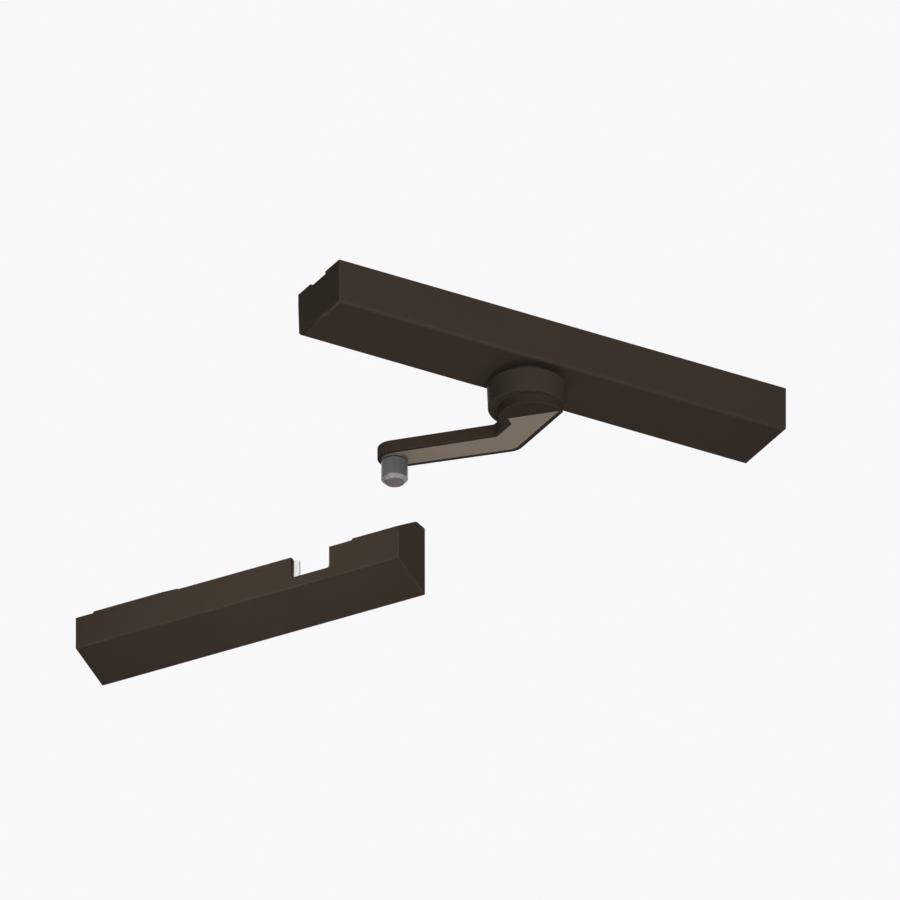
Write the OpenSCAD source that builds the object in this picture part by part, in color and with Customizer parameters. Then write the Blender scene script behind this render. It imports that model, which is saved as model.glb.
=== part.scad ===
// Surface mount door damper, millimetres, +Z up.
// Origin: the hub axis where it meets the mounting face. +X runs along the
// head of the frame towards the hinge jamb and +Y runs towards the door.
// The catch sits on the door, which stands open by open_angle.

/* [Body] */
// Thickness of the base plate
plate_t = 2; // [1.5:0.1:3]
// Height of the space that holds the mechanism
cavity_h = 13.8; // [13.4:0.1:18]
// Floor thickness of the chassis
floor_t = 2; // [1.5:0.1:3]
// Wall thickness of the outer cover
cover_t = 2; // [1.6:0.1:3]
// Side wall thickness of the chassis
side_t = 1.9; // [1.5:0.1:3]
// Space between the chassis and the front of the cover
front_space = 1.2; // [0.3:0.1:4]
// Space between the chassis and the back of the cover
back_space = 1.1; // [0.3:0.1:3]
// How far the back of the cover leans out towards the top
back_draft = 1.1; // [0:0.1:2]
// Space past each end of the chassis, for the mounting screws
end_space = 12; // [11:0.5:20]
// Radius of the upright corners of the cover
corner_r = 0.5; // [0.5:0.1:4]
// Radius of the lower edges of the cover
edge_r = 1.5; // [0.5:0.1:2]
// Width and height of the pry slot at the top of the cover's left end
pry_w = 12; // [8:0.5:16]
pry_h = 1.3; // [0.5:0.1:1.8]
// Width, height and depth of the relief behind the hub
relief_w = 30; // [20:1:40]
relief_h = 3; // [1:0.5:5]
relief_d = 1.1; // [0.5:0.1:1.2]

/* [Mounting holes] */
// Radius of the mounting screw holes
hole_r = 2.25; // [1.5:0.05:2.6]
// Distance from the end of the plate to the holes
hole_inset = 6.4; // [6:0.1:8]
// Distance between the two holes at one end
hole_gap = 14; // [10:0.5:18]

/* [Hydraulic damper] */
// Length of the damper tube
tube_len = 55.5; // [45:0.5:90]
// Outer radius of the damper tube
tube_r = 6.8; // [6:0.1:6.8]
// Wall thickness of the damper tube
tube_t = 1.4; // [1:0.1:2]
// Radius of the piston rod
rod_r = 2; // [1.5:0.1:2.5]
// Length of the piston rod
rod_len = 38.8; // [34:0.2:50]
// Length of the piston
piston_len = 4; // [3:0.5:8]

/* [Spring] */
// Length of the closing spring at rest
spring_len = 71.5; // [50:0.5:110]
// Mean radius of the coil
coil_r = 5; // [4.8:0.1:5.4]
// Radius of the spring wire
wire_r = 0.8; // [0.5:0.05:0.9]
// Number of turns
coil_turns = 15; // [8:1:20]

/* [Rack and pinion] */
// Size of one tooth
tooth_m = 1; // [0.9:0.05:1.1]
// Number of pinion teeth
pinion_n = 14; // [14:2:16]
// Face width of the pinion
pinion_w = 9; // [6:0.5:10]
// Thickness of the rack behind its teeth
rack_t = 2.75; // [2:0.05:4]
// Thickness of the two carriage blocks
block_t = 5; // [3:0.5:8]

/* [Hub] */
// Radius of the spindle
spindle_r = 4.5; // [4:0.1:4.8]
// Radius of the fixed collar under the cover
collar_r = 11; // [10:0.1:15.5]
// Height of the fixed collar
collar_h = 3.5; // [2:0.1:6]
// Radius of the drum at its top rim
drum_r = 16.4; // [15.5:0.1:20]
// Height of the drum
drum_h = 10; // [6:0.1:20]
// How much the drum narrows on its way down
drum_draft = 0.4; // [0:0.1:1]
// Rounding of the drum's lower edge
drum_round = 0.5; // [0.3:0.1:3]
// Wall of the drum beside the arm, out to the flat on its side
drum_wall = 2.3; // [1:0.1:4]

/* [Arm] */
// Thickness of the arm
arm_t = 5.2; // [4:0.1:8]
// Radius of the boss round the hub
boss_r = 13.8; // [12:0.1:14.3]
// How far the middle of the boss lies from the hub axis
boss_x = 1.8; // [0:0.1:2]
boss_y = -1; // [-1.3:0.1:0]
// How far the arm is let into the drum
arm_inset = 0.75; // [0.3:0.05:1.5]
// Centre and half width of the first stretch of the arm
first_x = 2.45; // [0:0.05:4]
first_half = 7.6; // [7:0.05:9]
// Distance from the hub to the elbow
elbow_y = 21.2; // [18:0.1:40]
// Distance from the hub axis to the roller axis
arm_reach = 63.32; // [55:0.1:90]
// Direction from the hub to the roller, from +X
arm_bearing = 118.6; // [110:0.1:125]
// Radius of the arm round the roller axis
tip_r = 7.05; // [6.8:0.05:8]
// Width of the dark rim round the inlay
rim_w = 1.9; // [1:0.1:2.5]
// Thickness of the inlay
inlay_t = 1.7; // [1:0.1:2.5]
// How far the arm swings as the door shuts
swing = 42.5; // [20:0.5:45]

/* [Roller] */
// Radius and length of the roller
roller_r = 5.5; // [5:0.1:6]
roller_h = 9.6; // [8:0.1:10]
// Thickness of the washer above the roller
washer_t = 1; // [0.5:0.1:2]
// Radius of the roller pin and of its head
pin_r = 3; // [2:0.1:3.2]
pin_head_r = 3.6; // [3.3:0.1:3.8]
// Chamfer of the roller's lower edge
roller_chamfer = 1.5; // [0.5:0.1:1.6]

/* [Catch] */
// How far the door stands open
open_angle = 59.42; // [40:1:90]
// Place of the catch's lower hinge end on the door face
catch_x = 16.1; // [0:0.1:40]
catch_y = 110.8; // [105:0.1:140]
// Length of the catch
catch_len = 151.4; // [140:1:200]
// How far the catch stands off the door
catch_d = 22.5; // [21:0.1:30]
// Wall thickness of the catch
catch_t = 2.5; // [2:0.1:2.8]
// Depth of the flat top next to the door
flat_d = 7.4; // [5:0.1:10]
// How far the top slopes down to the front wall
slope_h = 9.6; // [6:0.1:10]
// How much lower the front wall is along the channel
rail_drop = 0.7; // [0.2:0.1:2]
// Height of the front wall at the ends
front_h = 15.1; // [13:0.1:20]
// How far the underside slopes down to the door
under_h = 6.5; // [3:0.1:10]
// Length of the catch's free end that is lower, and how much lower
tail_len = 8.4; // [5:0.2:8.8]
tail_drop = 0.75; // [0.2:0.05:1.2]
// Where the open channel starts and how long it is
channel_at = 21.8; // [15:0.1:28]
channel_len = 90; // [70:1:100]
// Where the notch for the roller starts, and its width and depth
notch_at = 32.6; // [30:0.1:60]
notch_w = 17.8; // [15:0.1:22]
notch_h = 9.6; // [9:0.1:10.2]
// How far the arm's underside clears the lowered wall
arm_clear = 2.1; // [1:0.1:4]
// Thickness of the catch's back plate
back_t = 2; // [1.5:0.1:3]
// Thickness of the guide behind the front wall
guide_t = 1.8; // [1.2:0.1:2.2]
// Where the catch's screw holes lie, from each end
catch_hole_at = 11; // [9:0.5:12]

/* [Hidden] */
$fn = 96;
run_gap = 0.3;
fit_gap = 0.05;
seat_gap = 0.02;
eps = 0.01;

pitch_r = tooth_m * pinion_n / 2;
rack_add = 0.8 * tooth_m;
tip_add = tooth_m;
root_gap = 0.25 * tooth_m;
rack_back = pitch_r + tip_add + root_gap + rack_t;
cavity_half = rack_back + run_gap;
chassis_half = cavity_half + side_t;
pinion_tip_r = pitch_r + tip_add;
travel = pitch_r * swing * PI / 180;
stroke_room = ceil(travel * 2) / 2;

z_plate = -plate_t;
z_floor = z_plate - cavity_h;
z_chassis = z_floor - floor_t;
z_cover = z_chassis - cover_t;
z_collar = z_cover - collar_h;
z_drum = z_collar - run_gap;
z_arm = z_drum - drum_h;
z_arm_low = z_arm - arm_t;
z_pocket = z_arm_low + inlay_t;
z_washer = z_arm_low - washer_t;
z_roller = z_washer - run_gap;
z_roller_low = z_roller - roller_h;
z_mid = (z_plate + z_floor) / 2;

left_block_x = -(pinion_tip_r + 3 + block_t);
gland_x = left_block_x - stroke_room - 2;
flange_t = 1;
plug_t = 2;
tube_left = gland_x - flange_t - tube_len;
chassis_in_left = tube_left - plug_t;
chassis_left = chassis_in_left - side_t - 0.1;
right_block_x = pinion_tip_r + stroke_room + 1.8;
follower_t = 2;
seat_t = 3;
spring_x = right_block_x + block_t + follower_t;
spring_end = spring_x + spring_len;
chassis_in_right = spring_end + seat_t;
chassis_right = chassis_in_right + side_t + 0.1;
cover_in_left = chassis_left - end_space;
cover_in_right = chassis_right + end_space;
cover_left = cover_in_left - cover_t;
cover_right = cover_in_right + cover_t;
cover_in_front = -(chassis_half + front_space);
cover_front = cover_in_front - cover_t;
cover_in_back = chassis_half + back_space;
cover_back = cover_in_back + cover_t;
plate_half = chassis_half + min(front_space, back_space + back_draft) - 0.2;

bush_r = spindle_r + 2;
neck_r = bush_r + 1.5;
journal_r = spindle_r - 1;
top_bush_r = journal_r + 2;
z_bush_top = -plate_t / 2;
z_bush_low = z_plate - 2;
z_pinion = z_bush_low - 0.4;
flat_w = spindle_r * 1.5;

tip_x = arm_reach * cos(arm_bearing);
tip_y = arm_reach * sin(arm_bearing);
elbow = [first_x, elbow_y];
tip = [tip_x, tip_y];
outer_dir = (tip - elbow) / norm(tip - elbow);
outer_nrm = [-outer_dir[1], outer_dir[0]];

z_rail = z_arm_low - arm_clear;
catch_z = z_rail + rail_drop + slope_h;
catch_low = slope_h + front_h;
catch_h = catch_low + under_h;
notch_low = slope_h + rail_drop + notch_h;
under_k = under_h / catch_d;
under_in = catch_t * sqrt(1 + under_k * under_k);
function floor_s(d) = catch_low + (catch_d - d) * under_k - under_in;
top_k = slope_h / (catch_d - flat_d);
channel_end = channel_at + channel_len;

// Points of an arc, for the rounded edges of a profile
function arc(cx, cy, r, a0, a1, n = 8) =
    [for (i = [0:n]) [cx + r * cos(a0 + (a1 - a0) * i / n), cy + r * sin(a0 + (a1 - a0) * i / n)]];

// A profile drawn in Y and Z, run along X
module along_x(x0, x1) {
    translate([x0, 0, 0]) rotate([90, 0, 90]) linear_extrude(x1 - x0) children();
}

module ring(r_out, r_in, z0, z1) {
    translate([0, 0, z0]) difference() {
        cylinder(h = z1 - z0, r = r_out);
        translate([0, 0, -1]) cylinder(h = z1 - z0 + 2, r = r_in);
    }
}

module rod_x(x0, x1, r) {
    translate([x0, 0, z_mid]) rotate([0, 90, 0]) cylinder(h = x1 - x0, r = r);
}

module block(x0, x1, y0, y1, z0, z1) {
    translate([x0, y0, z0]) cube([x1 - x0, y1 - y0, z1 - z0]);
}

// Places of the four mounting holes and of the four chassis screws
hole_left = cover_in_left + hole_inset;
hole_right = cover_in_right - hole_inset;
module at_holes() {
    for (x = [hole_left, hole_right], y = [-hole_gap / 2, hole_gap / 2]) translate([x, y, 0]) children();
}
post_r = 2.1;
screw_r = 1.25;
head_r = 2.2;
head_t = 1.2;
post_y = cavity_half - post_r + 0.4;
module at_posts() {
    for (x = [chassis_in_left + post_r - 0.4, chassis_in_right - post_r + 0.4], y = [-post_y, post_y])
        translate([x, y, 0]) children();
}

tab_t = 1.5;
tab_h = 8;
tab_half = 8;
clip_t = 0.6;
clip_half = 5;
lug_t = 1.5;
lug_len = 5.5;
module base_plate() {
    color("silver") difference() {
        union() {
            block(cover_in_left + 0.3, cover_in_right - 0.3, -plate_half, plate_half, z_plate, 0);
            block(cover_in_left + 0.3, cover_in_left + 0.3 + tab_t, -tab_half, tab_half, z_plate - tab_h, z_plate);
            block(cover_in_right - 0.3 - tab_t, cover_in_right - 0.3, -tab_half, tab_half, z_plate - tab_h,
                z_plate);
        }
        at_holes() translate([0, 0, z_plate - 1]) cylinder(h = plate_t + 2, r = hole_r);
        at_posts() translate([0, 0, z_plate - 1]) cylinder(h = plate_t + 2, r = screw_r + 0.15);
        at_posts() translate([0, 0, -head_t - 0.1]) cylinder(h = 5, r = head_r + 0.1);
        translate([0, 0, z_plate - 1]) cylinder(h = z_bush_top - z_plate + 1, r = top_bush_r + seat_gap);
    }
}

module chassis() {
    color("gainsboro") difference() {
        union() {
            block(chassis_left, chassis_right, -chassis_half, chassis_half, z_chassis, z_plate);
            translate([0, 0, z_collar + run_gap]) cylinder(h = z_floor - z_collar - run_gap, r = neck_r);
        }
        difference() {
            block(chassis_in_left, chassis_in_right, -cavity_half, cavity_half, z_floor, z_plate + 1);
            at_posts() translate([0, 0, z_floor - 1]) cylinder(h = cavity_h + 3, r = post_r);
            for (s = [-1, 1]) {
                block(gland_x, gland_x + lug_t, s * cavity_half - 0.1 - lug_len * (s + 1) / 2,
                    s * cavity_half + 0.1 + lug_len * (1 - s) / 2, z_floor, z_plate);
            }
        }
        at_posts() translate([0, 0, z_plate - 8]) cylinder(h = 10, r = screw_r);
        translate([0, 0, z_collar - 1]) cylinder(h = z_floor - z_collar + 2, r = bush_r + seat_gap);
    }
}

module cover() {
    outer = concat([[cover_front, 0]], arc(cover_front + edge_r, z_cover + edge_r, edge_r, 180, 270),
        arc(cover_back - edge_r, z_cover + edge_r, edge_r, 270, 360), [[cover_back + back_draft, 0]]);
    inner = [[cover_in_front, 1], [cover_in_front, z_chassis], [cover_in_back, z_chassis],
        [cover_in_back + back_draft, 1]];
    side_view = concat([[cover_left, 0]], arc(cover_left + edge_r, z_cover + edge_r, edge_r, 180, 270),
        arc(cover_right - edge_r, z_cover + edge_r, edge_r, 270, 360), [[cover_right, 0]]);
    deep = cover_back + back_draft - cover_front;
    color("#3a2f29") difference() {
        intersection() {
            along_x(cover_left - 1, cover_right + 1) polygon(outer);
            rotate([90, 0, 0]) translate([0, 0, -(cover_front + deep + 1)]) linear_extrude(deep + 2)
                polygon(side_view);
            translate([0, 0, z_cover - 1]) linear_extrude(-z_cover + 2) {
                translate([cover_left + corner_r, cover_front - 1])
                    square([cover_right - cover_left - 2 * corner_r, deep + 2]);
                translate([cover_left, cover_front + corner_r])
                    square([cover_right - cover_left, deep - 2 * corner_r]);
                for (x = [cover_left + corner_r, cover_right - corner_r],
                    y = [cover_front + corner_r, cover_back + back_draft - corner_r])
                    translate([x, y]) circle(corner_r);
            }
        }
        along_x(cover_in_left, cover_in_right) polygon(inner);
        translate([0, 0, z_cover - 1]) cylinder(h = cover_t + 2, r = neck_r + fit_gap);
        block(cover_left - 1, cover_in_left + eps, 1 - pry_w / 2, 1 + pry_w / 2, -pry_h, 1);
        // the relief has sloping ends
        rotate([90, 0, 0]) translate([0, 0, -(cover_back + 3)]) linear_extrude(3 + relief_d)
            polygon([[-relief_w / 2, z_cover - 1], [-relief_w / 2, z_cover], [-relief_w / 2 + relief_h * 4 / 3,
                z_cover + relief_h], [relief_w / 2 - relief_h * 4 / 3, z_cover + relief_h],
                [relief_w / 2, z_cover], [relief_w / 2, z_cover - 1]]);
    }
}

// Spring clips between the tabs of the base plate and the ends of the cover
module cover_clips() {
    color("silver") {
        x0 = cover_in_left + 0.3 + tab_t;
        x1 = cover_in_right - 0.3 - tab_t;
        z1 = z_plate - tab_h;
        z0 = z1 - clip_t;
        block(x0, x0 + clip_t, -clip_half, clip_half, z0, z_plate - 1);
        block(x0 - tab_t, x0, -clip_half, clip_half, z0, z1);
        block(x1 - clip_t, x1, -clip_half, clip_half, z0, z_plate - 1);
        block(x1, x1 + tab_t, -clip_half, clip_half, z0, z1);
    }
}

module chassis_screws() {
    color("dimgray") at_posts() difference() {
        union() {
            translate([0, 0, -head_t - 0.1]) cylinder(h = head_t, r = head_r);
            translate([0, 0, z_plate - 7]) cylinder(h = 7 - z_plate - head_t, r = screw_r - seat_gap);
        }
        translate([0, 0, -0.9]) cylinder(h = 2, r = 1.1, $fn = 6);
    }
}

module upper_bush() {
    color("goldenrod") ring(top_bush_r, journal_r + fit_gap, z_bush_low, z_bush_top);
}

module lower_bush() {
    color("goldenrod") ring(bush_r, spindle_r + fit_gap, z_collar + run_gap, z_floor);
}

module hub_collar() {
    color("#2b2421") ring(collar_r, neck_r + seat_gap, z_collar, z_cover);
}

module damper_tube() {
    color("lightsteelblue") difference() {
        rod_x(tube_left, gland_x - flange_t, tube_r);
        rod_x(tube_left - 1, gland_x, tube_r - tube_t);
    }
}

module damper_gland() {
    color("dimgray") difference() {
        union() {
            rod_x(gland_x - flange_t, gland_x, tube_r);
            rod_x(gland_x - flange_t - 3, gland_x - flange_t, tube_r - tube_t - seat_gap);
        }
        rod_x(gland_x - 9, gland_x + 1, rod_r + fit_gap);
    }
}

module damper_end_plug() {
    color("dimgray") {
        rod_x(chassis_in_left, tube_left, tube_r);
        rod_x(tube_left, tube_left + 3, tube_r - tube_t - seat_gap);
    }
}

module spring_seat() {
    color("gray") {
        rod_x(spring_end, chassis_in_right, coil_r + wire_r + 0.6);
        rod_x(spring_end - 4, spring_end, coil_r - wire_r - 0.4);
    }
}

module spindle() {
    color("silver") {
        translate([0, 0, z_bush_low - run_gap]) cylinder(h = z_bush_top - z_bush_low, r = journal_r);
        translate([0, 0, z_arm]) cylinder(h = z_bush_low - run_gap - z_arm, r = spindle_r);
        intersection() {
            translate([0, 0, z_pocket]) cylinder(h = z_arm - z_pocket, r = spindle_r);
            block(-flat_w / 2, flat_w / 2, -20, 20, z_pocket, z_arm);
        }
    }
}

// Involute teeth
base_r = pitch_r * cos(20);
function inv(r) = let (q = sqrt(max(r * r / (base_r * base_r) - 1, 0))) q * 180 / PI - atan(q);
slack = 0.06;
tooth_a = 90 / pinion_n - slack / pitch_r * 180 / PI + inv(pitch_r);
root_r = pitch_r - rack_add - root_gap;
function flank(a, s) = concat([[root_r, a - s * tooth_a]],
    [for (i = [0:6]) let (r = base_r + (pinion_tip_r - base_r) * i / 6) [r, a - s * (tooth_a - inv(r))]]);
function flip(v) = [for (i = [len(v) - 1:-1:0]) v[i]];
function pinion_points() = [for (k = [0:pinion_n - 1]) let (a = 90 + 360 / pinion_n * (k + 0.5))
    each [for (p = concat(flank(a, 1), flip(flank(a, -1)))) [p[0] * cos(p[1]), p[0] * sin(p[1])]]];

module pinion() {
    color("darkgray") difference() {
        translate([0, 0, z_pinion - pinion_w]) linear_extrude(pinion_w) polygon(pinion_points());
        translate([0, 0, z_pinion - pinion_w - 1]) cylinder(h = pinion_w + 2, r = spindle_r + seat_gap);
    }
}

rack_x0 = left_block_x + block_t;
rack_x1 = right_block_x;
pitch = PI * tooth_m;
rack_first = ceil((rack_x0 + 0.4 * pitch) / pitch);
rack_last = floor((rack_x1 - 0.4 * pitch) / pitch);
module rack() {
    root_y = pitch_r + tip_add + root_gap;
    low = pitch / 4 - slack + (root_y - pitch_r) * tan(20);
    high = pitch / 4 - slack - rack_add * tan(20);
    color("darkgray") translate([0, 0, z_pinion - pinion_w + 0.5]) linear_extrude(pinion_w - 1) polygon(concat(
        [[rack_x0, rack_back], [rack_x0, root_y]],
        [for (k = [rack_first:rack_last]) each [[k * pitch - low, root_y], [k * pitch - high, pitch_r - rack_add],
            [k * pitch + high, pitch_r - rack_add], [k * pitch + low, root_y]]],
        [[rack_x1, root_y], [rack_x1, rack_back]]));
}

module tie_bar() {
    color("darkgray") block(rack_x0, rack_x1, -rack_back, -pinion_tip_r - 0.6, z_pinion - pinion_w + 0.5,
        z_pinion - 0.5);
}

module damper_block() {
    color("slategray") difference() {
        block(left_block_x, left_block_x + block_t, -rack_back, rack_back, z_floor + run_gap, z_plate - run_gap);
        rod_x(left_block_x - 1, left_block_x + block_t + 1, rod_r + seat_gap);
    }
}

module spring_block() {
    color("slategray") block(right_block_x, right_block_x + block_t, -rack_back, rack_back,
        z_floor + run_gap, z_plate - run_gap);
}

module piston_rod() {
    color("silver") rod_x(left_block_x + block_t - 0.2 - rod_len, left_block_x + block_t - 0.2, rod_r);
}

module piston() {
    x0 = left_block_x + block_t - 0.2 - rod_len;
    color("dimgray") difference() {
        rod_x(x0, x0 + piston_len, tube_r - tube_t - 0.08);
        rod_x(x0 - 1, x0 + piston_len + 1, rod_r + seat_gap);
    }
}

module spring_follower() {
    color("gray") {
        rod_x(spring_x - follower_t, spring_x, coil_r + wire_r + 0.6);
        rod_x(spring_x, spring_x + 4, coil_r - wire_r - 0.4);
    }
}

// The closing spring is one unbroken tube swept along a helix
coil_rings = coil_turns * 8;
coil_x0 = spring_x + wire_r + 0.1;
coil_x1 = spring_end - wire_r - 0.1;
function coil_at(i) = let (a = i * 45)
    [coil_x0 + (coil_x1 - coil_x0) * i / coil_rings, coil_r * cos(a), coil_r * sin(a)];
function coil_points() = [for (i = [0:coil_rings], k = [0:5])
    let (c = coil_at(i), a = i * 45, b = k * 60, out = wire_r * cos(b))
    [c[0] + wire_r * sin(b), c[1] + out * cos(a), c[2] + out * sin(a) + z_mid]];
function coil_faces() = concat([[for (k = [0:5]) k]], [[for (k = [5:-1:0]) coil_rings * 6 + k]],
    [for (i = [0:coil_rings - 1], k = [0:5]) each [[i * 6 + k, (i + 1) * 6 + k, i * 6 + (k + 1) % 6],
        [i * 6 + (k + 1) % 6, (i + 1) * 6 + k, (i + 1) * 6 + (k + 1) % 6]]]);
coil_gap = min([for (i = [0:coil_rings - 6], j = [i + 5:min(i + 11, coil_rings)])
    norm(coil_at(i) - coil_at(j))]) - 2 * wire_r;
echo(least_gap_between_turns = coil_gap);

module closing_spring() {
    color("steelblue") polyhedron(points = coil_points(), faces = coil_faces(), convexity = 10);
}

module drum() {
    low_r = drum_r - drum_draft;
    z_low = z_arm - arm_inset;
    color("#332a26") difference() {
        rotate_extrude() polygon(concat([[spindle_r + seat_gap, z_low], [spindle_r + seat_gap, z_drum],
            [drum_r - 0.4, z_drum], [drum_r, z_drum - 0.4]],
            arc(low_r - drum_round, z_low + drum_round, drum_round, 0, -90, 6)));
        translate([0, 0, z_low - 1]) linear_extrude(arm_inset + 1) arm_outline(seat_gap);
        block(first_x + first_half + drum_wall, drum_r + 1, -drum_r - 1, drum_r + 1, z_low - 1, z_drum + 1);
    }
}

// A band with round ends of two radii, whose straight sides run just inside the circles
module taper_band(a, b, ra, rb) {
    d = (b - a) / norm(b - a);
    s = (ra - rb) / norm(b - a);
    left = s * d + sqrt(1 - s * s) * [-d[1], d[0]];
    right = s * d - sqrt(1 - s * s) * [-d[1], d[0]];
    polygon([a + (ra - eps) * left, a + (ra - eps) * right, b + (rb - eps) * right, b + (rb - eps) * left]);
    translate(a) circle(ra);
    translate(b) circle(rb);
}

// The arm, or with a gap the place for it in the drum
module arm_outline(g) {
    half = first_half + g;
    intersection() {
        translate([boss_x, boss_y]) circle(boss_r + g);
        translate([-50, -50]) square([50 + first_x + half, 100]);
    }
    translate([first_x - half, 0]) square([2 * half, elbow_y]);
    taper_band(elbow, tip, half, tip_r + g);
}

// The inlay, or with a gap the pocket for it; its hub end is cut along the outer stretch
diag_d = 2.3;
end_d = 7.35;
module inlay_outline(g) {
    r = rim_w - g;
    xl = first_x - first_half + r;
    xr = first_x + first_half - r;
    u = outer_dir;
    n = outer_nrm;
    dd = diag_d + g;
    ee = end_d + g;
    taper_band(elbow, tip, first_half - r, tip_r - r);
    intersection() {
        translate([boss_x, boss_y]) circle(boss_r - 0.6 + g);
        polygon([[xr, (dd - n[0] * xr) / n[1]], dd * n + ee * u, [xl, (ee - u[0] * xl) / u[1]],
            [xl, elbow_y], [xr, elbow_y]]);
    }
    translate([xl, 8]) square([xr - xl, elbow_y - 8]);
}

module arm() {
    color("#3a2f29") difference() {
        translate([0, 0, z_arm_low]) linear_extrude(arm_t) arm_outline(0);
        translate([0, 0, z_arm_low - 1]) linear_extrude(inlay_t + 1) inlay_outline(0.1);
        intersection() {
            translate([0, 0, z_pocket - 1]) cylinder(h = arm_t + 2, r = spindle_r + seat_gap);
            block(-flat_w / 2 - seat_gap, flat_w / 2 + seat_gap, -20, 20, z_pocket - 1, z_arm + 1);
        }
        translate([tip_x, tip_y, z_pocket - 1]) cylinder(h = 2.5, r = pin_r + seat_gap);
    }
}

module arm_inlay() {
    color("#8a7f78") difference() {
        translate([0, 0, z_arm_low]) linear_extrude(inlay_t) inlay_outline(0);
        translate([tip_x, tip_y, z_arm_low - 1]) cylinder(h = inlay_t + 2, r = pin_r + seat_gap);
    }
}

pin_head_t = 1.1;
module roller_pin() {
    color("#b5a7a2") translate([tip_x, tip_y, 0]) {
        translate([0, 0, z_roller_low]) cylinder(h = pin_head_t, r = pin_head_r);
        translate([0, 0, z_roller_low + pin_head_t])
            cylinder(h = z_pocket + 1.5 - z_roller_low - pin_head_t, r = pin_r);
    }
}

module pin_washer() {
    color("dimgray") translate([tip_x, tip_y, 0]) ring(roller_r, pin_r + seat_gap, z_washer, z_arm_low);
}

module roller() {
    color("gray") translate([tip_x, tip_y, 0]) difference() {
        rotate_extrude() polygon([[0, z_roller_low], [0, z_roller], [roller_r - 0.4, z_roller],
            [roller_r, z_roller - 0.4], [roller_r, z_roller_low + roller_chamfer],
            [roller_r - roller_chamfer, z_roller_low]]);
        translate([0, 0, z_roller_low - 1]) cylinder(h = roller_h + 2, r = pin_r + fit_gap);
        translate([0, 0, z_roller_low - 1]) cylinder(h = 1 + pin_head_t + run_gap, r = pin_head_r + 0.2);
    }
}

// The catch is drawn along its own length, then set on the door
module on_door() {
    translate([catch_x, catch_y, catch_z]) rotate([0, 0, 180 - open_angle]) children();
}

module catch_prism(e0, e1, points) {
    along_x(e0, e1) polygon([for (p = points) [p[0], -p[1]]]);
}

catch_hole_s = catch_h / 2;
back_low = floor_s(back_t) - 0.1;
back_rail = slope_h - 2.7;
door_tab_t = 1.5;
door_tab_d = 14;
door_tab_top = 10;
door_tab_h = 10;
module catch_back_plate() {
    e0 = catch_t + 0.2;
    e1 = catch_len - catch_t - 0.2;
    color("silver") on_door() difference() {
        union() {
            catch_prism(e0, e1, [[0, catch_t + 0.1], [back_t, catch_t + 0.1], [back_t, back_low], [0, back_low]]);
            block(e0, e0 + door_tab_t, 0, door_tab_d, -door_tab_top - door_tab_h, -door_tab_top);
            block(e1 - door_tab_t, e1, 0, door_tab_d, -door_tab_top - door_tab_h, -door_tab_top);
        }
        block(channel_at - 0.5, channel_end + 0.5, -1, back_t + 1, -back_rail, 1);
        for (e = [catch_hole_at, catch_len - catch_hole_at])
            translate([e, -1, -catch_hole_s]) rotate([-90, 0, 0]) cylinder(h = back_t + 2, r = hole_r);
    }
}

module catch_cover() {
    in_d = catch_d - catch_t;
    top_in = catch_t * sqrt(1 + top_k * top_k);
    function top_s(d) = (d - flat_d) * top_k + top_in;
    turn_d = flat_d - (top_in - catch_t) / top_k;
    pod = [[back_t, catch_t], [turn_d, catch_t], [in_d, top_s(in_d)], [in_d, floor_s(in_d)],
        [back_t, floor_s(back_t)]];
    color("#3a2f29") on_door() difference() {
        catch_prism(0, catch_len, [[0, 0], [flat_d, 0], [catch_d, slope_h], [catch_d, catch_low], [0, catch_h]]);
        catch_prism(catch_t, catch_len - catch_t,
            [[-1, catch_t], [back_t + eps, catch_t], [back_t + eps, floor_s(back_t)], [-1, floor_s(back_t)]]);
        catch_prism(catch_t, channel_at - catch_t, pod);
        catch_prism(channel_end + catch_t, catch_len - catch_t, pod);
        catch_prism(channel_at, channel_end, [[back_t - 1, slope_h], [in_d, slope_h], [in_d, floor_s(in_d)],
            [back_t - 1, floor_s(back_t - 1)]]);
        block(channel_at, channel_end, -1, catch_d + 1, -slope_h - rail_drop, 1);
        catch_prism(catch_len - tail_len, catch_len + 1, [[-1, -1], [-1, tail_drop], [flat_d, tail_drop],
            [catch_d + 1, tail_drop + (catch_d + 1 - flat_d) * top_k], [catch_d + 1, -1]]);
        block(notch_at, notch_at + notch_w, in_d - 1, catch_d + 1, -notch_low, 0);
    }
}

notch_round = 7;
module catch_guide() {
    d1 = catch_d - catch_t - 0.1;
    d0 = d1 - guide_t;
    f = guide_t;
    color("whitesmoke") on_door() difference() {
        catch_prism(channel_at + 0.2, channel_end - 0.2, [[d1, slope_h + rail_drop + 0.5],
            [d1, floor_s(d1) - 0.1], [back_t + 0.2, floor_s(back_t + 0.2) - 0.1],
            [back_t + 0.2, floor_s(back_t + 0.2) - 0.1 - f], [d0, floor_s(d0) - 0.1 - f],
            [d0, slope_h + rail_drop + 0.5]]);
        // the guide's notch is narrower on one side and rounded on the other
        rotate([90, 0, 0]) translate([0, 0, -d1 - 1]) linear_extrude(guide_t + 2) polygon(concat(
            [[notch_at, 0]], arc(notch_at + notch_round, -notch_low + notch_round, notch_round, 180, 270, 10),
            [[notch_at + notch_w - 2.2, -notch_low], [notch_at + notch_w - 2.2, 0]]));
    }
}

// Spring clips between the tabs of the back plate and the ends of the catch
module catch_clips() {
    e0 = catch_t + 0.2 + door_tab_t;
    e1 = catch_len - catch_t - 0.2 - door_tab_t;
    z0 = 1 - door_tab_top - door_tab_h;
    z1 = -1 - door_tab_top;
    color("silver") on_door() {
        block(e0, e0 + clip_t, 4, door_tab_d - 2, z0, z1);
        block(e1 - clip_t, e1, 4, door_tab_d - 2, z0, z1);
    }
}

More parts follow.
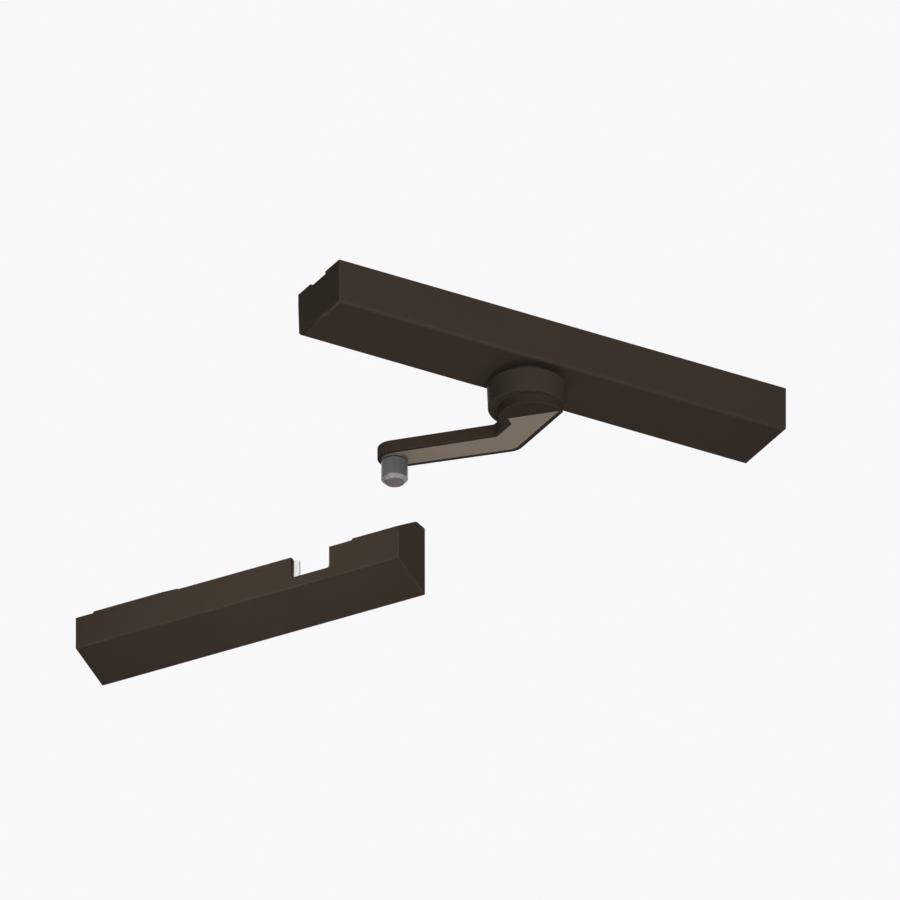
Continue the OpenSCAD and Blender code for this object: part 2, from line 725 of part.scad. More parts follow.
base_plate();
chassis();
cover();
cover_clips();
chassis_screws();
upper_bush();
lower_bush();
hub_collar();
damper_tube();
damper_gland();
damper_end_plug();
spring_seat();
catch_back_plate();
catch_cover();
catch_guide();
catch_clips();
spindle();
pinion();
drum();
arm();
arm_inlay();
roller_pin();
pin_washer();
roller();
rack();
tie_bar();
damper_block();
spring_block();
piston_rod();
piston();
spring_follower();
closing_spring();
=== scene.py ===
import bmesh
import bpy
import math
from mathutils import Matrix, Vector


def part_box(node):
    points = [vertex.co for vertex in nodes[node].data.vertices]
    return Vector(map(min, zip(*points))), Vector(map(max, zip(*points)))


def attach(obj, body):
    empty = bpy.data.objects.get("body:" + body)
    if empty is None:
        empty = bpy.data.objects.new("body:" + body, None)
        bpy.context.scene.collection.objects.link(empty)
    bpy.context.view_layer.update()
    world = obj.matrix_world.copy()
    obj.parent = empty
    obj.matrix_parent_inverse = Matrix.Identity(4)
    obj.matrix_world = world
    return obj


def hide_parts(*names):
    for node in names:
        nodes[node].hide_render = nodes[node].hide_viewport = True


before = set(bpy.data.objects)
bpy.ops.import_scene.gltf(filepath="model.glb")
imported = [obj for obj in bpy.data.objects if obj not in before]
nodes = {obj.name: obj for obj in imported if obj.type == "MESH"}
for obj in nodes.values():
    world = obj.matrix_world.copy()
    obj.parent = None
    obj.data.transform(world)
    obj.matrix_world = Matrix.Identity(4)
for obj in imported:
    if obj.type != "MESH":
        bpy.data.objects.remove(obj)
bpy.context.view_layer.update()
print("frame loaded:", len(nodes), "nodes")
mmPerMetre = 1000


# camera: a parallel view from the lower left, as the photograph has it
# angles in degrees, centre in millimetres, distances in metres
viewSetup = {
    "pixelsPerMm": 2.45,
    "frameWidth": 900,
    "azimuth": -30,
    "elevation": -30,
    "centreRight": -31.43,
    "centreUp": -46.24,
    "distance": 0.6,
    "nearest": 0.01,
    "farthest": 10,
}


def makeCamera(v):
    a, e = math.radians(v["azimuth"]), math.radians(v["elevation"])
    ahead = Vector((-math.sin(a) * math.cos(e), math.cos(a) * math.cos(e), -math.sin(e)))
    right = Vector((math.cos(a), math.sin(a), 0))
    up = right.cross(ahead)
    data = bpy.data.cameras.new("photoCamera")
    data.type = "ORTHO"
    data.ortho_scale = v["frameWidth"] / v["pixelsPerMm"] / mmPerMetre
    data.clip_start, data.clip_end = v["nearest"], v["farthest"]
    cam = bpy.data.objects.new("photoCamera", data)
    bpy.context.collection.objects.link(cam)
    place = right * v["centreRight"] / mmPerMetre + up * v["centreUp"] / mmPerMetre
    place = place - ahead * v["distance"]
    cam.matrix_world = Matrix((
        (right.x, up.x, -ahead.x, place.x),
        (right.y, up.y, -ahead.y, place.y),
        (right.z, up.z, -ahead.z, place.z),
        (0, 0, 0, 1),
    ))
    bpy.context.scene.camera = cam


makeCamera(viewSetup)
print("camera placed")


# studio: pale floor far below, soft lamps, pale surroundings; metres, watts
studio = {
    "floorDrop": 1.0,
    "floorHalf": 9,
    "floorPatches": 3,
    "floorShade": 0.98,
    "floorRoughness": 0.8,
    "floorGlow": 1.0,
    "floorSeen": 0.8,
    "floorColour": (0.86, 0.86, 0.85, 1),
    "skySeen": 0.94,
    "skyLight": 0.03,
    "lamps": [
        # name, place, what it points at, size, spread in degrees, power
        ("keyLamp", (-0.29, -0.96, -0.38), (-0.02, 0.08, -0.03), 0.6, 180, 13.8),
        ("catchLamp", (-0.564, -0.14, -0.06), (-0.044, 0.160, -0.048), 0.15, 29, 0.082),
        ("lowLamp", (-0.14, -0.10, -0.58), (-0.02, 0.08, -0.03), 0.4, 180, 0.72),
        ("topLamp", (-0.10, 0.15, 0.95), (-0.02, 0.08, -0.03), 1.4, 180, 6.5),
        ("backLamp", (0.55, 0.95, 0.35), (-0.02, 0.08, -0.03), 1.4, 180, 6.5),
    ],
}


def mathNode(tree, op, a, b=None, clamp=False):
    n = tree.nodes.new("ShaderNodeMath")
    n.operation = op
    n.use_clamp = clamp
    for i, v in enumerate((a, b)):
        if v is None:
            continue
        if isinstance(v, (int, float)):
            n.inputs[i].default_value = v
        else:
            tree.links.new(v, n.inputs[i])
    return n.outputs[0]


def seenRays(tree):
    path = tree.nodes.new("ShaderNodeLightPath")
    direct = mathNode(tree, "MAXIMUM", path.outputs["Is Camera Ray"], path.outputs["Is Glossy Ray"])
    return mathNode(tree, "MAXIMUM", direct, path.outputs["Is Transmission Ray"])


def makeFloor():
    bm = bmesh.new()
    bmesh.ops.create_grid(bm, x_segments=2, y_segments=2, size=studio["floorHalf"])
    bmesh.ops.translate(bm, verts=bm.verts, vec=(0, 0, -studio["floorDrop"]))
    mesh = bpy.data.meshes.new("studioFloor")
    bm.to_mesh(mesh)
    bm.free()
    floor = bpy.data.objects.new("studioFloor", mesh)
    bpy.context.collection.objects.link(floor)
    mat = bpy.data.materials.new("paleFloor")
    mat.use_nodes = True
    tree = mat.node_tree
    shader = tree.nodes["Principled BSDF"]
    noise = tree.nodes.new("ShaderNodeTexNoise")
    ramp = tree.nodes.new("ShaderNodeValToRGB")
    coord = tree.nodes.new("ShaderNodeTexCoord")
    noise.inputs["Scale"].default_value = studio["floorPatches"]
    c = studio["floorColour"]
    shade = studio["floorShade"]
    ramp.color_ramp.elements[0].color = (c[0] * shade, c[1] * shade, c[2] * shade, 1)
    ramp.color_ramp.elements[1].color = c
    tree.links.new(coord.outputs["Object"], noise.inputs["Vector"])
    tree.links.new(noise.outputs["Fac"], ramp.inputs["Fac"])
    tree.links.new(ramp.outputs["Color"], shader.inputs["Base Color"])
    shader.inputs["Roughness"].default_value = studio["floorRoughness"]
    # seen pale from any side, lit by the lamps only in part, so that a soft shadow stays
    out = tree.nodes["Material Output"]
    glow = tree.nodes.new("ShaderNodeEmission")
    mix = tree.nodes.new("ShaderNodeMixShader")
    glow.inputs["Color"].default_value = c
    glow.inputs["Strength"].default_value = studio["floorGlow"]
    tree.links.new(mathNode(tree, "MULTIPLY", seenRays(tree), studio["floorSeen"]), mix.inputs["Fac"])
    tree.links.new(shader.outputs[0], mix.inputs[1])
    tree.links.new(glow.outputs[0], mix.inputs[2])
    tree.links.new(mix.outputs[0], out.inputs["Surface"])
    floor.data.materials.append(mat)


def makeWorld():
    world = bpy.data.worlds.new("studioWorld")
    bpy.context.scene.world = world
    world.use_nodes = True
    tree = world.node_tree
    tree.nodes.clear()
    out = tree.nodes.new("ShaderNodeOutputWorld")
    mix = tree.nodes.new("ShaderNodeMixShader")
    seen = tree.nodes.new("ShaderNodeBackground")
    light = tree.nodes.new("ShaderNodeBackground")
    seen.inputs["Color"].default_value = (1, 1, 1, 1)
    seen.inputs["Strength"].default_value = studio["skySeen"]
    light.inputs["Color"].default_value = (1, 1, 1, 1)
    light.inputs["Strength"].default_value = studio["skyLight"]
    tree.links.new(seenRays(tree), mix.inputs["Fac"])
    tree.links.new(light.outputs[0], mix.inputs[1])
    tree.links.new(seen.outputs[0], mix.inputs[2])
    tree.links.new(mix.outputs[0], out.inputs["Surface"])


def makeLamps():
    for name, place, aim, size, spread, power in studio["lamps"]:
        data = bpy.data.lights.new(name, "AREA")
        data.shape = "DISK"
        data.size = size
        data.spread = math.radians(spread)
        data.energy = power
        lamp = bpy.data.objects.new(name, data)
        bpy.context.collection.objects.link(lamp)
        lamp.location = place
        lamp.rotation_euler = (Vector(aim) - Vector(place)).to_track_quat("-Z", "Y").to_euler()


makeFloor()
makeWorld()
makeLamps()
bpy.context.scene.view_settings.view_transform = "Standard"
print("studio ready")


# shared effects, each a node group with its own values in every material
def newGroup(name, ins, outs):
    group = bpy.data.node_groups.new(name, "ShaderNodeTree")
    for label, kind, value in ins:
        s = group.interface.new_socket(name=label, in_out="INPUT", socket_type=kind)
        if value is not None:
            s.default_value = value
    for label, kind in outs:
        group.interface.new_socket(name=label, in_out="OUTPUT", socket_type=kind)
    gin = group.nodes.new("NodeGroupInput")
    gout = group.nodes.new("NodeGroupOutput")
    return group, gin, gout


def mixColour(tree, fac, a, b):
    n = tree.nodes.new("ShaderNodeMix")
    n.data_type = "RGBA"
    for socket, v in ((n.inputs[0], fac), (n.inputs[6], a), (n.inputs[7], b)):
        if isinstance(v, (int, float, tuple)):
            socket.default_value = v
        else:
            tree.links.new(v, socket)
    return n.outputs[2]


def noiseNode(tree, vector, scale, detail=2.0, rough=0.5):
    n = tree.nodes.new("ShaderNodeTexNoise")
    for label, v in (("Scale", scale), ("Detail", detail), ("Roughness", rough)):
        if isinstance(v, (int, float)):
            n.inputs[label].default_value = v
        else:
            tree.links.new(v, n.inputs[label])
    tree.links.new(vector, n.inputs["Vector"])
    return n.outputs["Fac"]


skinLook = {
    # noise scales per metre, then the levels at which drift and rubbing start; the rubbing patches also carry
    # a painted highlight on marked edges
    "driftScale": 18.0,
    "fineScale": 3800.0,
    "rubScale": 60.0,
    "driftFrom": 0.35,
    "driftGain": 0.8,
    "baseTone": 0.15,
    "patchFrom": 0.42,
    "patchGain": 5.0,
    "wornSmoother": 0.12,
    "fineHeight": 0.3,
}


def paintGroup():
    # sprayed or moulded skin: slow tone drift, orange peel, fine speckle, light rubbing, and paler marked
    # edges that are partly wear and partly a painted highlight
    g, i, o = newGroup("sprayedSkin", [
        ("Colour", "NodeSocketColor", (0.03, 0.02, 0.02, 1)),
        ("Light Colour", "NodeSocketColor", (0.05, 0.04, 0.03, 1)),
        ("Vector", "NodeSocketVector", None),
        ("Peel Scale", "NodeSocketFloat", 900.0),
        ("Speckle", "NodeSocketFloat", 0.25),
        ("Rubbing", "NodeSocketFloat", 0.2),
        ("Roughness", "NodeSocketFloat", 0.5),
        ("Edge", "NodeSocketFloat", 0.0),
        ("Edge Wear And Highlight", "NodeSocketFloat", 0.5),
        ("Wear And Highlight Colour", "NodeSocketColor", (0.1, 0.08, 0.06, 1)),
    ], [("Colour", "NodeSocketColor"), ("Roughness", "NodeSocketFloat"), ("Height", "NodeSocketFloat")])
    vec = i.outputs["Vector"]
    look = skinLook
    drift = noiseNode(g, vec, look["driftScale"], 3.0)
    peel = noiseNode(g, vec, i.outputs["Peel Scale"], 2.0)
    fine = noiseNode(g, vec, look["fineScale"], 1.0)
    rub = noiseNode(g, vec, look["rubScale"], 6.0, 0.7)
    speck = mathNode(g, "MULTIPLY", mathNode(g, "SUBTRACT", fine, 0.5), i.outputs["Speckle"])
    drifted = mathNode(g, "SUBTRACT", drift, look["driftFrom"])
    slow = mathNode(g, "MULTIPLY", drifted, look["driftGain"])
    tone = mathNode(g, "ADD", mathNode(g, "ADD", slow, speck), look["baseTone"], True)
    skin = mixColour(g, tone, i.outputs["Colour"], i.outputs["Light Colour"])
    # marked edges are painted paler in patches: partly wear, partly a painted highlight where light catches
    # the edge
    above = mathNode(g, "SUBTRACT", rub, look["patchFrom"])
    patch = mathNode(g, "MULTIPLY", above, look["patchGain"], True)
    atEdge = mathNode(g, "MULTIPLY", patch, i.outputs["Edge"])
    edge = mathNode(g, "MULTIPLY", atEdge, i.outputs["Edge Wear And Highlight"], True)
    g.links.new(mixColour(g, edge, skin, i.outputs["Wear And Highlight Colour"]), o.inputs["Colour"])
    worn = mathNode(g, "MULTIPLY", mathNode(g, "SUBTRACT", rub, 0.5), i.outputs["Rubbing"])
    rough = mathNode(g, "SUBTRACT", mathNode(g, "ADD", i.outputs["Roughness"], worn),
        mathNode(g, "MULTIPLY", edge, look["wornSmoother"]), True)
    g.links.new(rough, o.inputs["Roughness"])
    grit = mathNode(g, "MULTIPLY", fine, look["fineHeight"])
    g.links.new(mathNode(g, "ADD", peel, grit), o.inputs["Height"])
    return g


def brushedGroup():
    # metal with a grain along one way: stretched noise, with faint stains
    g, i, o = newGroup("metalGrain", [
        ("Colour", "NodeSocketColor", (0.5, 0.5, 0.5, 1)),
        ("Dark Colour", "NodeSocketColor", (0.3, 0.3, 0.3, 1)),
        ("Vector", "NodeSocketVector", None),
        ("Stain", "NodeSocketFloat", 0.3),
        ("Grain", "NodeSocketFloat", 0.5),
        ("Roughness", "NodeSocketFloat", 0.35),
    ], [("Colour", "NodeSocketColor"), ("Roughness", "NodeSocketFloat"), ("Height", "NodeSocketFloat")])
    stretch = g.nodes.new("ShaderNodeMapping")
    stretch.inputs["Scale"].default_value = (0.03, 1.0, 1.0)
    g.links.new(i.outputs["Vector"], stretch.inputs["Vector"])
    lines = noiseNode(g, stretch.outputs[0], 2600.0, 4.0, 0.6)
    broad = noiseNode(g, i.outputs["Vector"], 55.0, 4.0, 0.6)
    fac = mathNode(g, "ADD",
        mathNode(g, "MULTIPLY", lines, i.outputs["Grain"]),
        mathNode(g, "MULTIPLY", broad, i.outputs["Stain"]), True)
    g.links.new(mixColour(g, fac, i.outputs["Colour"], i.outputs["Dark Colour"]), o.inputs["Colour"])
    rough = mathNode(g, "ADD", i.outputs["Roughness"],
        mathNode(g, "MULTIPLY", mathNode(g, "SUBTRACT", broad, 0.5), 0.25), True)
    g.links.new(rough, o.inputs["Roughness"])
    g.links.new(lines, o.inputs["Height"])
    return g


def turnedGroup():
    # rings left by a lathe about the piece's own upright axis, with a painted highlight on the rim below a
    # height
    g, i, o = newGroup("latheRings", [
        ("Colour", "NodeSocketColor", (0.5, 0.5, 0.5, 1)),
        ("Dark Colour", "NodeSocketColor", (0.3, 0.3, 0.3, 1)),
        ("Vector", "NodeSocketVector", None),
        ("Rim Highlight Colour", "NodeSocketColor", (0.3, 0.3, 0.3, 1)),
        ("Highlight Rim Top", "NodeSocketFloat", -1.0),
        ("Ring Scale", "NodeSocketFloat", 1600.0),
        ("Ring Tone", "NodeSocketFloat", 0.35),
        ("Roughness", "NodeSocketFloat", 0.4),
    ], [("Colour", "NodeSocketColor"), ("Roughness", "NodeSocketFloat"), ("Height", "NodeSocketFloat")])
    split = g.nodes.new("ShaderNodeSeparateXYZ")
    g.links.new(i.outputs["Vector"], split.inputs[0])
    xx = mathNode(g, "MULTIPLY", split.outputs[0], split.outputs[0])
    yy = mathNode(g, "MULTIPLY", split.outputs[1], split.outputs[1])
    radius = mathNode(g, "SQRT", mathNode(g, "ADD", xx, yy))
    join = g.nodes.new("ShaderNodeCombineXYZ")
    g.links.new(radius, join.inputs[0])
    g.links.new(split.outputs[2], join.inputs[1])
    rings = noiseNode(g, join.outputs[0], i.outputs["Ring Scale"], 3.0, 0.6)
    cloud = noiseNode(g, i.outputs["Vector"], 220.0, 3.0, 0.6)
    fac = mathNode(g, "ADD",
        mathNode(g, "MULTIPLY", rings, i.outputs["Ring Tone"]),
        mathNode(g, "MULTIPLY", cloud, 0.3), True)
    body = mixColour(g, fac, i.outputs["Colour"], i.outputs["Dark Colour"])
    depth = mathNode(g, "SUBTRACT", i.outputs["Highlight Rim Top"], split.outputs[2])
    rimHighlight = mathNode(g, "MULTIPLY", depth, 6000.0, True)
    rimHighlight = mathNode(g, "MULTIPLY", rimHighlight, mathNode(g, "ADD", mathNode(g, "MULTIPLY", cloud, 0.5), 0.65, True))
    g.links.new(mixColour(g, rimHighlight, body, i.outputs["Rim Highlight Colour"]), o.inputs["Colour"])
    rough = mathNode(g, "ADD", i.outputs["Roughness"],
        mathNode(g, "MULTIPLY", mathNode(g, "SUBTRACT", cloud, 0.5), 0.3), True)
    g.links.new(rough, o.inputs["Roughness"])
    g.links.new(rings, o.inputs["Height"])
    return g


groups = {"paint": paintGroup(), "brushed": brushedGroup(), "turned": turnedGroup()}
print("surface effects built")


bumpDistance = 0.0002
# every finish on the damper: which effect, its values, and the shader's own plain numbers
finishes = {
    # the paler edge colours in these skins are partly wear, partly a painted highlight on the edges
    "darkShell": {"kind": "paint",
        "Colour": (0.0328, 0.0241, 0.0181), "Light Colour": (0.0413, 0.0313, 0.0240),
        "Peel Scale": 1100.0, "Speckle": 0.5, "Rubbing": 0.16, "Roughness": 0.58,
        "Edge Wear And Highlight": 0.42, "Wear And Highlight Colour": (0.070, 0.054, 0.042),
        "bump": 0.12, "specular": 0.008},
    "darkArm": {"kind": "paint", "Colour": (0.0250, 0.0170, 0.0128), "Light Colour": (0.0325, 0.0226, 0.0173),
        "Peel Scale": 1500.0, "Speckle": 0.5, "Rubbing": 0.2, "Roughness": 0.50,
        "Edge Wear And Highlight": 0.35, "Wear And Highlight Colour": (0.070, 0.054, 0.042),
        "bump": 0.10, "specular": 0.01},
    "darkDrum": {"kind": "paint",
        "Colour": (0.0300, 0.0230, 0.0179), "Light Colour": (0.0374, 0.0295, 0.0233),
        "Peel Scale": 1300.0, "Speckle": 0.5, "Rubbing": 0.18, "Roughness": 0.50,
        "Edge Wear And Highlight": 0.7, "Wear And Highlight Colour": (0.095, 0.078, 0.064),
        "bump": 0.09, "specular": 0.01},
    # the collar is darker than the shell: its own dark skin, darkened further as painted shade for the gap
    # above the drum
    "darkCollarGapShade": {"kind": "paint", "Colour": (0.020, 0.0145, 0.011), "Light Colour": (0.028, 0.021, 0.016),
        "Peel Scale": 1300.0, "Speckle": 0.4, "Rubbing": 0.15, "Roughness": 0.55,
        "bump": 0.08, "specular": 0.09},
    "inlayMetal": {"kind": "brushed", "Colour": (0.198, 0.158, 0.123), "Dark Colour": (0.138, 0.111, 0.085),
        "Stain": 0.45, "Grain": 0.4, "Roughness": 0.46, "metallic": 0.0,
        "bump": 0.05, "specular": 0.22, "turn": 133.77},
    # the lighter rim colour on the roller's lower edge is a painted highlight on its chamfer
    "rollerNylon": {"kind": "turned", "Colour": (0.073, 0.073, 0.072), "Dark Colour": (0.053, 0.053, 0.053),
        "Rim Highlight Colour": (0.178, 0.178, 0.177), "Highlight Rim Top": -0.0482,
        "Ring Scale": 2200.0, "Ring Tone": 0.5, "Roughness": 0.36,
        "bump": 0.06, "specular": 0.2, "centre": "roller"},
    "pinSteel": {"kind": "turned", "Colour": (0.190, 0.150, 0.146), "Dark Colour": (0.108, 0.084, 0.081),
        "Ring Scale": 2600.0, "Ring Tone": 0.6, "Roughness": 0.40, "metallic": 0.6,
        "bump": 0.08, "specular": 0.3, "centre": "roller"},
    "washerDark": {"kind": "turned", "Colour": (0.075, 0.072, 0.069), "Dark Colour": (0.05, 0.048, 0.046),
        "Ring Scale": 2200.0, "Ring Tone": 0.4, "Roughness": 0.45,
        "bump": 0.05, "specular": 0.15, "centre": "roller"},
    "guideWhite": {"kind": "paint", "Colour": (0.50, 0.495, 0.475), "Light Colour": (0.58, 0.575, 0.555),
        "Peel Scale": 900.0, "Speckle": 0.2, "Rubbing": 0.2, "Roughness": 0.42,
        "bump": 0.05, "specular": 0.4},
    "zincSteel": {"kind": "brushed", "Colour": (0.54, 0.54, 0.525), "Dark Colour": (0.28, 0.28, 0.27),
        "Stain": 0.7, "Grain": 0.35, "Roughness": 0.34, "metallic": 0.9,
        "bump": 0.06, "specular": 0.5, "turn": 0.0},
    "castAlloy": {"kind": "paint", "Colour": (0.40, 0.40, 0.39), "Light Colour": (0.52, 0.52, 0.51),
        "Peel Scale": 700.0, "Speckle": 0.6, "Rubbing": 0.3, "Roughness": 0.48, "metallic": 0.85,
        "bump": 0.25, "specular": 0.5},
    "bushBronze": {"kind": "turned", "Colour": (0.50, 0.33, 0.15), "Dark Colour": (0.32, 0.20, 0.09),
        "Ring Scale": 1800.0, "Ring Tone": 0.5, "Roughness": 0.36, "metallic": 0.9,
        "bump": 0.06, "specular": 0.5, "centre": "hub"},
    "groundSteel": {"kind": "turned", "Colour": (0.56, 0.56, 0.57), "Dark Colour": (0.38, 0.38, 0.39),
        "Ring Scale": 2600.0, "Ring Tone": 0.4, "Roughness": 0.26, "metallic": 0.95,
        "bump": 0.03, "specular": 0.5, "centre": "hub"},
    "gearSteel": {"kind": "brushed", "Colour": (0.38, 0.38, 0.385), "Dark Colour": (0.22, 0.22, 0.225),
        "Stain": 0.5, "Grain": 0.5, "Roughness": 0.36, "metallic": 0.9,
        "bump": 0.08, "specular": 0.5, "turn": 0.0},
    "tubeSteel": {"kind": "brushed", "Colour": (0.52, 0.54, 0.57), "Dark Colour": (0.34, 0.355, 0.38),
        "Stain": 0.35, "Grain": 0.5, "Roughness": 0.28, "metallic": 0.92,
        "bump": 0.05, "specular": 0.5, "turn": 0.0},
    "springSteel": {"kind": "brushed", "Colour": (0.40, 0.41, 0.44), "Dark Colour": (0.22, 0.23, 0.26),
        "Stain": 0.5, "Grain": 0.3, "Roughness": 0.32, "metallic": 0.92,
        "bump": 0.04, "specular": 0.5, "turn": 0.0},
    "blockAlloy": {"kind": "brushed", "Colour": (0.42, 0.43, 0.44), "Dark Colour": (0.29, 0.30, 0.31),
        "Stain": 0.3, "Grain": 0.6, "Roughness": 0.34, "metallic": 0.85,
        "bump": 0.07, "specular": 0.5, "turn": 90.0},
    "seatGrey": {"kind": "paint", "Colour": (0.16, 0.16, 0.165), "Light Colour": (0.22, 0.22, 0.225),
        "Peel Scale": 900.0, "Speckle": 0.3, "Rubbing": 0.2, "Roughness": 0.5,
        "bump": 0.08, "specular": 0.4},
    "glandBlack": {"kind": "paint", "Colour": (0.03, 0.03, 0.03), "Light Colour": (0.05, 0.05, 0.05),
        "Peel Scale": 900.0, "Speckle": 0.3, "Rubbing": 0.2, "Roughness": 0.45,
        "bump": 0.08, "specular": 0.4},
}
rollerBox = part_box("roller")
rollerMid = (Vector(rollerBox[0]) + Vector(rollerBox[1])) / 2
centres = {"hub": Vector((0, 0, 0)), "roller": Vector((rollerMid.x, rollerMid.y, 0))}


def makeFinish(name, f):
    mat = bpy.data.materials.new(name)
    mat.use_nodes = True
    tree = mat.node_tree
    shader = tree.nodes["Principled BSDF"]
    coord = tree.nodes.new("ShaderNodeTexCoord")
    vector = coord.outputs["Object"]
    if "turn" in f or "centre" in f:
        place = tree.nodes.new("ShaderNodeMapping")
        if "turn" in f:
            place.inputs["Rotation"].default_value = (0, 0, -math.radians(f["turn"]))
        if "centre" in f:
            place.inputs["Location"].default_value = -centres[f["centre"]]
        tree.links.new(vector, place.inputs["Vector"])
        vector = place.outputs[0]
    effect = tree.nodes.new("ShaderNodeGroup")
    effect.node_tree = groups[f["kind"]]
    tree.links.new(vector, effect.inputs["Vector"])
    # the edge mark drives paler paint: partly wear, partly a painted highlight
    if "Wear And Highlight Colour" in f:
        edge = tree.nodes.new("ShaderNodeAttribute")
        edge.attribute_name = "softEdge"
        tree.links.new(edge.outputs["Fac"], effect.inputs["Edge"])
    for label in effect.inputs.keys():
        if label in f:
            v = f[label]
            effect.inputs[label].default_value = (*v, 1) if isinstance(v, tuple) else v
    tree.links.new(effect.outputs["Colour"], shader.inputs["Base Color"])
    tree.links.new(effect.outputs["Roughness"], shader.inputs["Roughness"])
    bump = tree.nodes.new("ShaderNodeBump")
    bump.inputs["Strength"].default_value = f["bump"]
    bump.inputs["Distance"].default_value = bumpDistance
    tree.links.new(effect.outputs["Height"], bump.inputs["Height"])
    tree.links.new(bump.outputs["Normal"], shader.inputs["Normal"])
    shader.inputs["Metallic"].default_value = f.get("metallic", 0.0)
    shader.inputs["Specular IOR Level"].default_value = f["specular"]
    return mat


finish = {name: makeFinish(name, f) for name, f in finishes.items()}
print("finishes made:", len(finish))


# which finish each CAD node wears
wornBy = {
    "base_plate": "zincSteel", "chassis": "castAlloy", "cover_clips": "springSteel",
    "chassis_screws": "gearSteel", "upper_bush": "bushBronze", "lower_bush": "bushBronze",
    "damper_tube": "tubeSteel", "damper_gland": "glandBlack", "damper_end_plug": "glandBlack",
    "spring_seat": "seatGrey", "catch_back_plate": "zincSteel", "catch_guide": "guideWhite",
    "catch_clips": "springSteel", "closing_spring": "springSteel", "spindle": "groundSteel",
    "pinion": "gearSteel", "pin_washer": "washerDark", "rack": "gearSteel", "tie_bar": "gearSteel",
    "damper_block": "blockAlloy", "spring_block": "blockAlloy", "piston_rod": "groundSteel",
    # the hub collar's darker skin also paints the shade in the gap above the drum
    "piston": "glandBlack", "spring_follower": "seatGrey", "hub_collar": "darkCollarGapShade",
    "cover": "darkShell", "catch_cover": "darkShell", "drum": "darkDrum", "arm": "darkArm",
    "arm_inlay": "inlayMetal", "roller": "rollerNylon", "roller_pin": "pinSteel",
}
for nodeName, finishName in wornBy.items():
    obj = nodes[nodeName]
    for s in obj.material_slots:
        s.material = finish[finishName]
    if not obj.material_slots:
        obj.data.materials.append(finish[finishName])


# how edges are found and softened: metres, degrees
softening = {
    "mergeDistance": 2e-6,
    "flatAngle": 0.6,
    "sharpAngle": 25,
    "shadeAngle": 42,
    "broadArea": 0.00003,
    "skinDepth": 0.0001,
    "longEdge": 0.012,
    "cornerSegments": 5,
    "edgeSegments": 3,
    "edgeMark": 0.8,
    "sameFacing": 0.985,
    "normalWeight": 50,
}


# pieces that show are redone from the solids, with softened edges that catch the light, and marked edges
# painted paler as wear and a painted highlight
dressed = {
    "coverShell": {"node": "cover", "body": "mounting", "edge": 0, "slot": "dark_shell",
        "wearAndHighlightStripArea": 0.00005},
    "catchShell": {"node": "catch_cover", "body": "mounting", "edge": 0.00030, "slot": "dark_shell",
        "corner": 0.0005},
    "catchGuide": {"node": "catch_guide", "body": "mounting", "edge": 0.00020, "slot": "guide_white"},
    "headPlate": {"node": "base_plate", "body": "mounting", "edge": 0.00020, "slot": "zinc_steel"},
    "doorPlate": {"node": "catch_back_plate", "body": "mounting", "edge": 0.00020, "slot": "zinc_steel"},
    "hubCollar": {"node": "hub_collar", "body": "mounting", "edge": 0.00020, "slot": "dark_collar"},
    "hubDrum": {"node": "drum", "body": "swing_arm", "edge": 0.00020, "slot": "dark_drum"},
    "swingArm": {"node": "arm", "body": "swing_arm", "edge": 0.00025, "slot": "dark_arm"},
    "armInlay": {"node": "arm_inlay", "body": "swing_arm", "edge": 0.00015, "slot": "inlay_metal"},
    "rollerWasher": {"node": "pin_washer", "body": "swing_arm", "edge": 0.00010, "slot": "washer_dark"},
    "rollerPin": {"node": "roller_pin", "body": "swing_arm", "edge": 0.00015, "slot": "pin_steel"},
    "rollerWheel": {"node": "roller", "body": "roller_wheel", "edge": 0.00020, "slot": "roller_grey"},
}


def sharpEdges(bm):
    limit = math.radians(softening["sharpAngle"])
    return [e for e in bm.edges if len(e.link_faces) == 2 and e.calc_face_angle(0) > limit]


def outerFaces(bm):
    # broad faces with the whole piece on their inner side
    return {f for f in bm.faces if f.calc_area() > softening["broadArea"]
        and max((v.co - f.verts[0].co).dot(f.normal) for v in bm.verts) < softening["skinDepth"]}


def soften(bm, edges, width, segments, softEdge):
    made = bmesh.ops.bevel(bm, geom=edges, offset=width, offset_type="OFFSET", affect="EDGES",
        segments=segments, profile=0.5, clamp_overlap=True, material=-1)
    for f in made["faces"]:
        # the new strips are marked for paler paint: partly wear, partly a painted highlight
        f[softEdge] = softening["edgeMark"]
    return made["faces"]


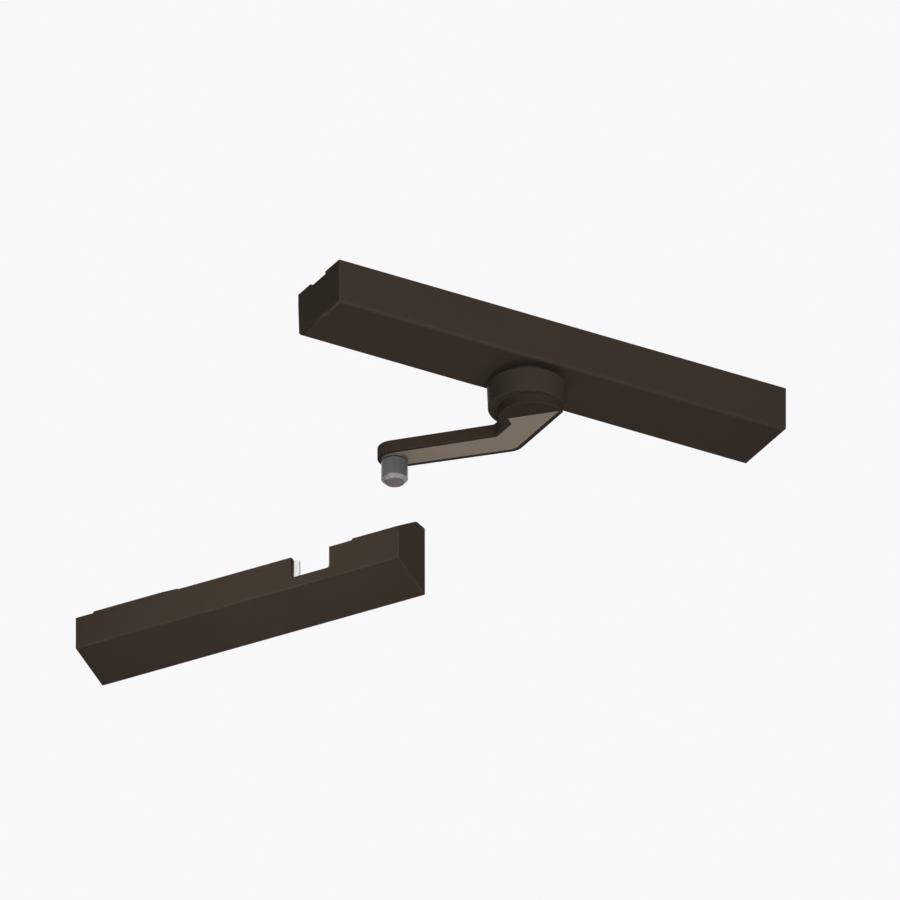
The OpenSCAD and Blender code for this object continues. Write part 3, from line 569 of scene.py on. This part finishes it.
def softenedCopy(name, d):
    rule = softening
    source = nodes[d["node"]]
    bm = bmesh.new()
    bm.from_mesh(source.data)
    bmesh.ops.remove_doubles(bm, verts=bm.verts, dist=rule["mergeDistance"])
    bmesh.ops.dissolve_limit(bm, angle_limit=math.radians(rule["flatAngle"]),
        verts=bm.verts, edges=bm.edges, delimit={"NORMAL"})
    softEdge = bm.faces.layers.float.new("softEdge")
    sharp = sharpEdges(bm)
    if "corner" in d:
        # the long outer corners of the wedge are rounder than its notches
        skin = outerFaces(bm)
        outer = [e for e in sharp if e.calc_length() > rule["longEdge"]
            and all(f in skin for f in e.link_faces)]
        strips = soften(bm, outer, d["corner"], rule["cornerSegments"], softEdge)
        taken = {v for f in strips for v in f.verts}
        skin = outerFaces(bm)
        sharp = [e for e in sharpEdges(bm) if any(f in skin for f in e.link_faces)
            and not any(v in taken for v in e.verts)]
    if d["edge"]:
        soften(bm, sharp, d["edge"], rule["edgeSegments"], softEdge)
    if "wearAndHighlightStripArea" in d:
        # rounded by the source already: mark the narrow strips between the broad faces, which are painted
        # paler as wear and a painted highlight
        broad = [f.normal.copy() for f in bm.faces if f.calc_area() > d["wearAndHighlightStripArea"]]
        for f in bm.faces:
            if f.calc_area() < d["wearAndHighlightStripArea"] and max(f.normal.dot(n) for n in broad) < rule["sameFacing"]:
                f[softEdge] = rule["edgeMark"]
    for f in bm.faces:
        f.smooth = True
    mesh = bpy.data.meshes.new(name)
    bm.to_mesh(mesh)
    bm.free()
    mesh.set_sharp_from_angle(angle=math.radians(rule["shadeAngle"]))
    piece = bpy.data.objects.new(name, mesh)
    bpy.context.collection.objects.link(piece)
    # flat faces keep their own normals, so that only the softened edges shade round
    even = piece.modifiers.new("evenShading", "WEIGHTED_NORMAL")
    even.weight = rule["normalWeight"]
    even.keep_sharp = True
    mesh.materials.append(finish[wornBy[d["node"]]])
    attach(piece, d["body"])
    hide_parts(d["node"])
    print("piece", name, len(mesh.polygons), "faces")


for pieceName, values in dressed.items():
    softenedCopy(pieceName, values)

print("done")
